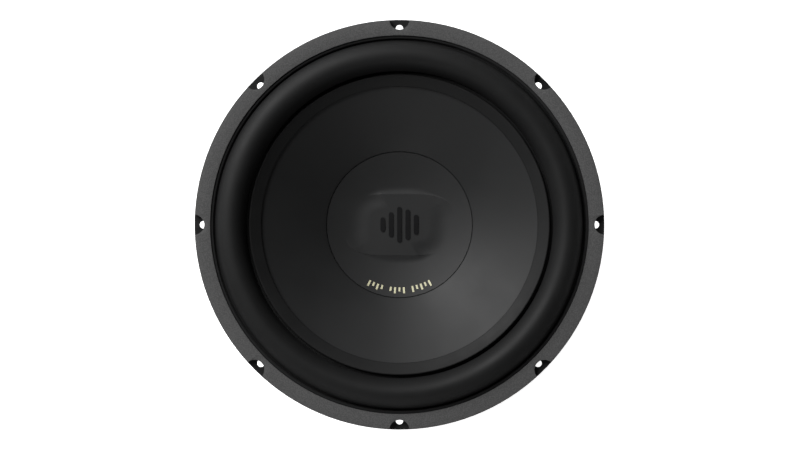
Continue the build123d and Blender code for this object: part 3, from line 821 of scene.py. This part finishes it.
@dataclass
class Suspension:
    """What lets the dish move: the rubber surround at its rim and the cloth spider at its neck."""

    surround_wall: float = 1.2 * MM
    groove_wall: float = 0.7 * MM
    outer_lip_r: float = 144.6 * MM
    outer_lip_z: float = 2.15 * MM
    roll_outer_r: float = 137.7 * MM
    roll_inner_r: float = 115.7 * MM
    roll_top_z: float = 15.1 * MM
    roll_foot: float = 1.4 * MM
    rim_hook_r: float = 112.85 * MM
    rim_hook_z: float = 2.65 * MM
    groove_z: float = -2.2 * MM
    inner_lip_r: float = 104.4 * MM
    inner_lip_z: float = -1.46 * MM
    bead_inner_r: float = 139.8 * MM
    bead_outer_r: float = 142.0 * MM
    bead_bottom_z: float = 2.7 * MM
    bead_top_z: float = 5.6 * MM
    bead_round: float = 0.35 * MM
    spider_wall: float = 0.55 * MM
    spider_r: float = 88.0 * MM
    spider_z: float = -57.65 * MM
    wave_outer_r: float = 76.0 * MM
    wave_inner_r: float = 34.0 * MM
    wave_pitch: float = 6.0 * MM
    wave_height: float = 1.75 * MM
    spider_neck_r: float = 26.0 * MM
    spider_collar: float = 3.0 * MM

    def build_surround(self) -> bpy.types.Object:
        """The surround: a flat outer lip, a half roll, a groove and a lip that lies on the cone.

        The roll is half an ellipse: its height over its two feet is the sine, and its distance
        from the middle the cosine, of the same angle. The sheet hooks over the cone's rim and is
        thinner in the groove between the rim and the roll. Its wall grows back with the height
        up the roll and the distance along the lip.
        """
        middle_r = (self.roll_outer_r + self.roll_inner_r) / 2
        half = (self.roll_outer_r - self.roll_inner_r) / 2
        inner_foot, outer_foot = self.groove_z + self.roll_foot, self.outer_lip_z + self.roll_foot
        inside = rounded_line(
            [(self.inner_lip_r, self.inner_lip_z), (self.rim_hook_r, self.rim_hook_z),
             (self.rim_hook_r, self.groove_z), (self.roll_inner_r, self.groove_z),
             (self.roll_inner_r, inner_foot)],
            [0.6 * MM, 0.9 * MM, 0.9 * MM], 8)
        turn = np.linspace(0, math.pi, 81)[1:-1]
        foot = np.where(turn < math.pi / 2, inner_foot, outer_foot)
        arch_z = foot + (self.roll_top_z - foot) * np.sin(turn)
        roll = np.stack([middle_r - half * np.cos(turn), arch_z], axis=1)
        outside = rounded_line(
            [(self.roll_outer_r, outer_foot), (self.roll_outer_r, self.outer_lip_z),
             (self.outer_lip_r, self.outer_lip_z)],
            [0.6 * MM], 8)
        line = dense(np.concatenate([inside, roll, outside]), 1.2 * MM)
        up_the_roll = (line[:, 1] - 4 * MM) / (5 * MM)
        along_the_lip = (self.rim_hook_r - 0.8 * MM - line[:, 0]) / (3 * MM)
        past_the_crest = (line[:, 0] - middle_r) / half
        share = np.clip(np.max([up_the_roll, along_the_lip, past_the_crest], axis=0), 0, 1)
        wall = self.groove_wall + (self.surround_wall - self.groove_wall) * share
        return revolve("surround_roll", band_outline(line, wall), 360, 60.0)

    def build_bead(self) -> bpy.types.Object:
        """The locating bead that stands on the outer lip, just inside the gasket."""
        corners = [
            (self.bead_inner_r, self.bead_bottom_z), (self.bead_outer_r, self.bead_bottom_z),
            (self.bead_outer_r, self.bead_top_z), (self.bead_inner_r, self.bead_top_z),
            (self.bead_inner_r, self.bead_bottom_z),
        ]
        outline = rounded_line(corners, [0.1 * MM, self.bead_round, self.bead_round], 5)[:-1]
        return revolve("surround_bead", outline, 360)

    def build_spider(self) -> bpy.types.Object:
        """The spider: a flat landing, a run of sine waves in radius, and a collar on the former."""
        radius = np.linspace(self.wave_outer_r, self.wave_inner_r, 160)
        share = (self.wave_outer_r - radius) / (self.wave_outer_r - self.wave_inner_r)
        swell = np.clip(np.minimum(share, 1 - share) * 14, 0, 1)
        wave = self.wave_height * swell * np.sin((self.wave_outer_r - radius) * TURN / self.wave_pitch)
        waves = np.stack([radius, self.spider_z + wave], axis=1)
        neck = rounded_line(
            [(self.wave_inner_r - 2 * MM, self.spider_z), (self.spider_neck_r, self.spider_z),
             (self.spider_neck_r, self.spider_z + self.spider_collar)], [1.2 * MM], 6)
        landing = np.array([[self.spider_r, self.spider_z], [self.wave_outer_r + 4 * MM, self.spider_z]])
        line = dense(np.concatenate([landing, waves, neck]), 2 * MM)
        return revolve("spider_disc", band_outline(line[::-1], self.spider_wall), 240, 60.0)

    def build(self) -> None:
        """Builds and dresses both rings and the bead, bakes the rings in place and lets the bead ride on the
        frame.
        """
        surround = dress(self.build_surround(), Finish.SURROUND)
        blend_round(surround)
        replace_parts(surround, "surround")
        bead = dress(self.build_bead(), Finish.SURROUND)
        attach(bead, Body.FRAME.value)
        spider = dress(self.build_spider(), Finish.SPIDER)
        blend_round(spider)
        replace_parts(spider, "spider")
        log.info("suspension: %d and %d quads", len(surround.data.polygons), len(spider.data.polygons))


@dataclass
class Chassis:
    """What holds still: the basket, the gasket and the motor with its boot."""

    boot_r: float = 74.6 * MM
    boot_wall: float = 2.0 * MM
    boot_top_z: float = -98.0 * MM
    boot_bottom_z: float = -140.0 * MM
    boot_opening_r: float = 40.0 * MM
    gasket_inner_r: float = 142.05 * MM
    gasket_outer_r: float = 153.5 * MM
    gasket_bottom_z: float = 1.5 * MM
    gasket_top_z: float = 7.0 * MM
    gasket_round: float = 0.2 * MM
    rebate_r: float = 144.65 * MM
    rebate_height: float = 1.3 * MM
    notch_count: int = 8
    notch_bottom_r: float = 146.45 * MM
    notch_r: float = 7.5 * MM

    def gasket_edge(self, samples: int = 25, between: int = 46) -> tuple:
        """The gasket's outer edge: a circle with a round bite over each mounting hole.

        A ray at the angle a from a notch's middle meets the notch's circle, of radius r about a
        centre at distance c, at c cos a less the root of r squared minus the square of c sin a.
        The bite ends where that distance reaches the gasket's outer radius.

        Args:
            samples: how many angles each notch has.
            between: how many angles there are from one notch to the next.

        Returns:
            The angles once round, and the outer radius at each.
        """
        centre, outer = self.notch_bottom_r + self.notch_r, self.gasket_outer_r
        end = math.acos((outer**2 + centre**2 - self.notch_r**2) / (2 * outer * centre))
        inside = end * np.sin(np.linspace(-math.pi / 2, math.pi / 2, samples))
        root = np.sqrt(np.maximum(self.notch_r**2 - (centre * np.sin(inside)) ** 2, 0))
        pitch = TURN / self.notch_count
        outside = np.linspace(end, pitch - end, between + 2)[1:-1]
        angle = np.concatenate([inside, outside])
        radius = np.concatenate([centre * np.cos(inside) - root, np.full(between, outer)])
        turns = np.arange(self.notch_count)[:, None] * pitch
        return (turns + angle).ravel(), np.tile(radius, self.notch_count)

    def build_gasket(self) -> bpy.types.Object:
        """The gasket: a foam ring with crisp, barely rounded edges and a rebate for the lip.

        Each section goes up the inner wall, over two quarter rounds, down the outer wall and
        back along the rebate. The outer wall follows the notched edge.
        """
        angle, outer = self.gasket_edge()
        quarter = np.linspace(0, math.pi / 2, 4)
        soft = self.gasket_round
        top, bottom = self.gasket_top_z, self.gasket_bottom_z
        step = bottom + self.rebate_height
        inner_r = self.gasket_inner_r + soft * (1 - np.cos(quarter))
        inner_z = top - soft * (1 - np.sin(quarter))
        fixed_r = np.concatenate([[self.gasket_inner_r], inner_r])
        fixed_z = np.concatenate([[step], inner_z])
        edge_r = np.concatenate([-soft * (1 - np.cos(quarter))[::-1], [0]])
        edge_z = np.concatenate([inner_z[::-1], [bottom]])
        under_r, under_z = np.array([self.rebate_r, self.rebate_r]), np.array([bottom, step])
        ones = np.ones((len(angle), 1))
        radius = np.concatenate([ones * fixed_r, outer[:, None] + edge_r, ones * under_r], axis=1)
        height = ones * np.concatenate([fixed_z, edge_z, under_z])
        return ring_surface("gasket_ring", angle, radius[:, ::-1], height[:, ::-1])

    def build_boot(self) -> bpy.types.Object:
        """The magnet boot: a cup section with a rounded foot, a rolled top edge and two grooves."""
        groove = 0.5 * MM
        outer = self.boot_r
        corners = [
            (self.boot_opening_r, self.boot_bottom_z + self.boot_wall),
            (self.boot_opening_r, self.boot_bottom_z),
            (outer, self.boot_bottom_z),
        ]
        outline = rounded_line(
            corners + [(outer, self.boot_top_z), (outer - self.boot_wall, self.boot_top_z),
                       (outer - self.boot_wall, self.boot_bottom_z + self.boot_wall),
                       (self.boot_opening_r, self.boot_bottom_z + self.boot_wall)],
            [0.5 * MM, 5 * MM, 0.8 * MM, 0.8 * MM, 0.3 * MM], 8)[:-1]
        outline = dense(outline, 2 * MM)
        ring_heights = np.array([self.boot_top_z - 5 * MM, self.boot_top_z - 7.5 * MM])
        near = np.abs(outline[:, 1:2] - ring_heights).min(axis=1) < 0.6 * MM
        outline[(outline[:, 0] > outer - 0.1 * MM) & near, 0] -= groove
        return revolve("boot_skin", outline, 288)

    def build(self) -> None:
        """Builds the gasket and the boot, and dresses the CAD nodes of the basket and the motor."""
        gasket = dress(self.build_gasket(), Finish.GASKET)
        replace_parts(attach(gasket, Body.FRAME.value), "front_gasket")
        boot = dress(self.build_boot(), Finish.BOOT)
        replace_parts(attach(boot, Body.FRAME.value), "magnet_boot")
        dress_nodes(["basket"], Finish.STEEL)
        dress_nodes(["top_plate", "pole_and_back_plate"], Finish.PLATE)
        dress_nodes(["front_magnet", "rear_magnet"], Finish.FERRITE)
        dress_nodes(["plate_rivets", "terminal_rivets", "vent_screen"], Finish.RIVET)
        quads = (len(gasket.data.polygons), len(boot.data.polygons))
        log.info("chassis: %d and %d quads in the gasket and boot", *quads)


@dataclass
class Terminals:
    """The two terminal blocks with their buttons, contacts, springs, leads and solder."""

    lead_r: float = 0.95 * MM
    strands: int = 8
    pole_offset: float = 6.5 * MM
    shelf_z: float = -58.0 * MM
    contact_r: float = 101.0 * MM
    former_r: float = 25.7 * MM
    spring_seat_r: float = 102.33 * MM
    spring_base_r: float = 106.67 * MM
    spring_coil_r: float = 1.8 * MM
    spring_wire_r: float = 0.18 * MM
    spring_turns: int = 6
    button_z: float = -65.0 * MM
    lead_route: tuple = (
        (100.6, 8.5), (88.0, 8.5), (77.0, 13.5), (62.0, 15.5), (47.0, 12.5), (36.0, 8.0), (25.7, 8.0)
    )

    def lead_path(self, side: Side, pole: Pole) -> np.ndarray:
        """The smooth line of one lead: a NURBS curve with the route's points as control points.

        Args:
            side: which terminal block the lead leaves.
            pole: which contact of the block it leaves.

        Returns:
            The curve's points, from the contact to the former.
        """
        curve = bpy.data.curves.new("lead_route", "CURVE")
        curve.dimensions = "3D"
        spline = curve.splines.new("NURBS")
        spline.points.add(len(self.lead_route) - 1)
        along, up = np.array(self.lead_route).T * MM
        sideways = np.full(len(along), side.value * pole.value * self.pole_offset)
        places = np.stack([along * side.value, sideways, self.shelf_z + up, np.ones(len(along))], axis=1)
        spline.points.foreach_set("co", places.astype(np.float32).ravel())
        spline.order_u = 3
        spline.use_endpoint_u = True
        spline.resolution_u = 40
        holder = bpy.data.objects.new("lead_route", curve)
        bpy.context.scene.collection.objects.link(holder)
        line = bpy.data.meshes.new_from_object(holder)
        points = np.empty(len(line.vertices) * 3, np.float32)
        line.vertices.foreach_get("co", points)
        bpy.data.objects.remove(holder)
        bpy.data.meshes.remove(line)
        return points.reshape(-1, 3).astype(float)

    def build_lead(self, side: Side, pole: Pole) -> bpy.types.Object:
        """One braided lead: a tube whose radius is raised where a strand crosses over.

        Two families of strands wind opposite ways round the tube. Each raises the radius by
        the cosine of its own angle, and the higher of the two shows.
        """
        path = self.lead_path(side, pole)
        length = np.concatenate([[0], np.cumsum(np.linalg.norm(np.diff(path, axis=0), axis=1))])
        around = 32
        angle = np.arange(around) * TURN / around
        twist = length[:, None] / (5.5 * self.lead_r) * TURN
        one_way = np.cos(self.strands / 2 * (angle + twist / self.strands * 2))
        other_way = np.cos(self.strands / 2 * (angle - twist / self.strands * 2))
        radius = self.lead_r * (0.88 + 0.12 * np.maximum(one_way, other_way))
        name = f"lead_braid_{side.name.lower()}_{pole.name.lower()}"
        lead = dress(tube(name, path, radius, around), Finish.BRAID)
        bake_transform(lead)
        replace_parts(lead, f"tinsel_lead_{side.name.lower()}_{pole.name.lower()}")
        return lead

    def build_spring(self, side: Side, pole: Pole) -> None:
        """One button spring, pressed between its seat in the block and the button's back.

        The wire's middle is a helix: it steps evenly outwards while its sideways and upward
        offsets are the coil's radius times the cosine and sine of the turn. The first and the
        last turn are closed up.

        Args:
            side: which terminal block the spring is in.
            pole: which button it is behind.
        """
        share = np.linspace(0, 1, self.spring_turns * 24 + 1)
        turn = share * self.spring_turns * TURN
        closed = 1.0 / self.spring_turns
        even = np.clip((share - closed) / (1 - 2 * closed), 0, 1)
        rise = 0.88 * even + 0.06 * (np.minimum(share / closed, 1) + np.clip((share - 1) / closed + 1, 0, 1))
        outwards = self.spring_seat_r + (self.spring_base_r - self.spring_seat_r) * rise
        sideways = side.value * pole.value * self.pole_offset + self.spring_coil_r * np.cos(turn)
        upwards = self.button_z + self.spring_coil_r * np.sin(turn)
        path = np.stack([side.value * outwards, sideways, upwards], axis=1)
        suffix = f"{side.name.lower()}_{pole.name.lower()}"
        wire = np.full((len(path), 8), self.spring_wire_r)
        spring = dress(tube(f"spring_wire_{suffix}", path, wire, 8), Finish.SPRING)
        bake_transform(spring)
        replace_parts(spring, f"button_spring_{suffix}")

    def build_blobs(self, name: str, centres: np.ndarray, size: tuple) -> bpy.types.Object:
        """Rounded blobs of solder or glue: flattened balls, one for each centre.

        A ball's point at latitude v and longitude u is the centre plus the three half sizes
        times (cos v cos u, cos v sin u, sin v).

        Args:
            name: the piece's name.
            centres: the blobs' centres, three numbers each.
            size: the three half sizes.

        Returns:
            The blobs as one object.
        """
        around, rings = 24, 11
        longitude = np.arange(around) * TURN / around
        latitude = np.linspace(-90, 90, rings + 2)[1:-1, None] * math.pi / 180
        ball = np.stack([np.cos(latitude) * np.cos(longitude), np.cos(latitude) * np.sin(longitude),
                         np.sin(latitude) * np.ones(around)], axis=-1).reshape(-1, 3)
        ball = np.concatenate([ball, [[0, 0, -1], [0, 0, 1]]]) * np.array(size)
        turn = np.arange(around)
        top = (rings - 1) * around
        quads = grid_faces(rings, around, False, True)[:, ::-1]
        south = np.stack([np.full(around, len(ball) - 2), (turn + 1) % around, turn], axis=1)
        north = np.stack([np.full(around, len(ball) - 1), top + turn, top + (turn + 1) % around], axis=1)
        shift = np.arange(len(centres))[:, None, None] * len(ball)
        points = (np.asarray(centres)[:, None] + ball).reshape(-1, 3)
        faces = [(quads[None] + shift).reshape(-1, 4),
                 (np.concatenate([south, north])[None] + shift).reshape(-1, 3)]
        return mesh_object(name, points, faces, 60.0)

    def build(self) -> None:
        """Builds the leads and their joints, and dresses the CAD nodes of both blocks."""
        for side in Side:
            label = side.name.lower()
            dress_nodes([f"terminal_block_{label}"], Finish.BLOCK)
            for pole in Pole:
                self.build_lead(side, pole)
                suffix = f"{label}_{pole.name.lower()}"
                dress_nodes([f"push_button_{suffix}"], Finish.RED if pole is Pole.POSITIVE else Finish.BLACK)
                dress_nodes([f"contact_{suffix}"], Finish.BRASS)
                self.build_spring(side, pole)
        ends = [(side.value, pole.value * self.pole_offset) for side in Side for pole in Pole]
        lug = np.array([[sign * (self.contact_r - 0.9 * MM), y, self.shelf_z + 8.5 * MM] for sign, y in ends])
        solder = dress(self.build_blobs("lead_solder", lug, (1.3 * MM, 1.7 * MM, 1.6 * MM)), Finish.SOLDER)
        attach(solder, Body.FRAME.value)
        pads = np.array([[sign * (self.former_r - 0.3 * MM), y, self.shelf_z + 8.0 * MM] for sign, y in ends])
        glue = dress(self.build_blobs("lead_glue", pads, (1.6 * MM, 2.6 * MM, 2.2 * MM)), Finish.GLUE)
        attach(glue, Body.CONE.value)
        log.info("terminals: four leads, %d joints", 2 * len(ends))


# ---------------------------------------------------------------- studio


@dataclass
class Panel:
    """A soft light: a rectangle that faces the driver."""

    name: str
    azimuth: float
    elevation: float
    distance: float
    width: float
    height: float
    radiance: float

    def build(self, target: np.ndarray) -> None:
        """Hangs the panel round the target and turns it to face it.

        A panel's power is pi times its area times its radiance.

        Args:
            target: the point that the panel faces.
        """
        lamp = bpy.data.lights.new(self.name, "AREA")
        lamp.shape = "RECTANGLE"
        lamp.size, lamp.size_y = self.width, self.height
        lamp.energy = math.pi * self.width * self.height * self.radiance
        holder = bpy.data.objects.new(self.name, lamp)
        turn, rise = math.radians(self.azimuth), math.radians(self.elevation)
        away = np.array([math.cos(rise) * math.cos(turn), math.cos(rise) * math.sin(turn), math.sin(rise)])
        holder.location = target + away * self.distance
        direction = Vector(-away)
        holder.rotation_mode = "QUATERNION"
        holder.rotation_quaternion = direction.to_track_quat("-Z", "Y")
        bpy.context.scene.collection.objects.link(holder)


@dataclass
class Studio:
    """The pale floor, the lights, the white surroundings and the camera."""

    floor_half: float = 6.0
    camera_height: float = 4.0
    view_width: float = 0.6013
    sensor: float = 36.0
    offset_x: float = 0.0004
    offset_y: float = -0.0002
    glow: float = 0.90
    diffuse_level: float = 0.05
    zenith_level: float = 0.03
    horizon_level: float = 0.28
    panels: tuple = (
        Panel("key", 134.0, 38.0, 5.0, 3.6, 3.6, 11.3),
        Panel("fill", 262.0, 36.0, 5.0, 3.0, 3.0, 2.1),
        Panel("low_front", 270.0, -7.0, 1.8, 1.8, 0.38, 3.0),
        Panel("low_right", 0.0, -7.0, 1.8, 1.8, 0.38, 2.4),
        Panel("low_left", 180.0, -7.0, 1.8, 1.8, 0.38, 2.4),
        Panel("low_back", 90.0, -7.0, 1.8, 1.8, 0.38, 2.4),
        Panel("under", 300.0, -55.0, 2.0, 1.6, 1.6, 3.0),
    )

    def build_floor(self, height: float) -> None:
        """The floor: pale, with the driver's shadow, and clear from below and to the lights."""
        half = self.floor_half
        corners = np.array(
            [[-half, -half, height], [half, -half, height], [half, half, height], [-half, half, height]]
        )
        floor = mesh_object("studio_floor", corners, [np.array([[0, 1, 2, 3]])])
        recipe = Recipe("studio_floor")
        paint = recipe.node("BsdfDiffuse", {"Color": (0.8, 0.8, 0.8, 1.0)}).outputs[0]
        rays = recipe.node("LightPath")
        strength = recipe.math("MULTIPLY", rays.outputs["Is Camera Ray"], self.glow)
        glow = recipe.node("Emission", {"Strength": strength}).outputs[0]
        seen = recipe.node("AddShader", {0: paint, 1: glow}).outputs[0]
        clear = recipe.node("BsdfTransparent").outputs[0]
        backfacing = recipe.node("NewGeometry").outputs["Backfacing"]
        open_to = recipe.math("MAXIMUM", backfacing, rays.outputs["Is Shadow Ray"])
        both = recipe.node("MixShader", {0: open_to, 1: seen, 2: clear}).outputs[0]
        recipe.tree.links.new(both, recipe.output.inputs["Surface"])
        floor.data.materials.append(recipe.material)
        floor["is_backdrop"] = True

    def build_world(self) -> None:
        """The surroundings: white to the camera, and to gloss pale low down and dim overhead."""
        world = bpy.data.worlds.new("surroundings")
        world.use_nodes = True
        tree = world.node_tree
        back = next(node for node in tree.nodes if node.type == "BACKGROUND")
        back.inputs["Color"].default_value = (1.0, 1.0, 1.0, 1.0)
        rays = tree.nodes.new("ShaderNodeLightPath")
        place = tree.nodes.new("ShaderNodeTexCoord")
        parts = tree.nodes.new("ShaderNodeSeparateXYZ")
        tree.links.new(place.outputs["Generated"], parts.inputs[0])
        last = self.step(tree, parts.outputs[2], 0.1, 0.5, self.horizon_level, self.zenith_level)
        last = self.step(tree, rays.outputs["Is Glossy Ray"], 0.0, 1.0, self.diffuse_level, last)
        last = self.step(tree, rays.outputs["Is Camera Ray"], 0.0, 1.0, last, 1.0)
        tree.links.new(last, back.inputs["Strength"])
        bpy.context.scene.world = world

    def step(self, tree: bpy.types.NodeTree, value: Value, low: float, high: float, at_low: Value,
             at_high: Value) -> Value:
        """Adds a node that goes from one level to another as a value rises.

        Args:
            tree: the node tree.
            value: the socket that rises.
            low: where the first level ends.
            high: where the second level starts.
            at_low: the first level, a number or a socket.
            at_high: the second level, a number or a socket.

        Returns:
            The socket with the level.
        """
        made = tree.nodes.new("ShaderNodeMapRange")
        made.inputs["From Min"].default_value, made.inputs["From Max"].default_value = low, high
        tree.links.new(value, made.inputs["Value"])
        for name, level in (("To Min", at_low), ("To Max", at_high)):
            if isinstance(level, bpy.types.NodeSocket):
                tree.links.new(level, made.inputs[name])
            else:
                made.inputs[name].default_value = level
        return made.outputs["Result"]

    def build_camera(self) -> None:
        """The camera: high over the dish, looking straight down its axis through a long lens."""
        lens = bpy.data.cameras.new("camera")
        lens.sensor_width = self.sensor
        lens.lens = self.sensor * self.camera_height / self.view_width
        lens.clip_end = 100.0
        camera = bpy.data.objects.new("camera", lens)
        camera.location = (self.offset_x, self.offset_y, self.camera_height)
        bpy.context.scene.collection.objects.link(camera)
        bpy.context.scene.camera = camera

    def build(self, low: np.ndarray, high: np.ndarray) -> None:
        """Builds the studio round the driver's box.

        Args:
            low: the box's lowest corner.
            high: the box's highest corner.
        """
        self.build_floor(float(low[2]))
        self.build_world()
        for panel in self.panels:
            panel.build((low + high) / 2)
        self.build_camera()
        bpy.context.scene.view_settings.view_transform = "Standard"
        log.info("studio: %d panels", len(self.panels))


def main() -> None:
    logging.basicConfig(level=logging.INFO, format="%(name)s: %(message)s")
    low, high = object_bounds()
    Diaphragm().build()
    Suspension().build()
    Chassis().build()
    Terminals().build()
    Studio().build(np.array(low), np.array(high))


if __name__ == "__main__":
    main()
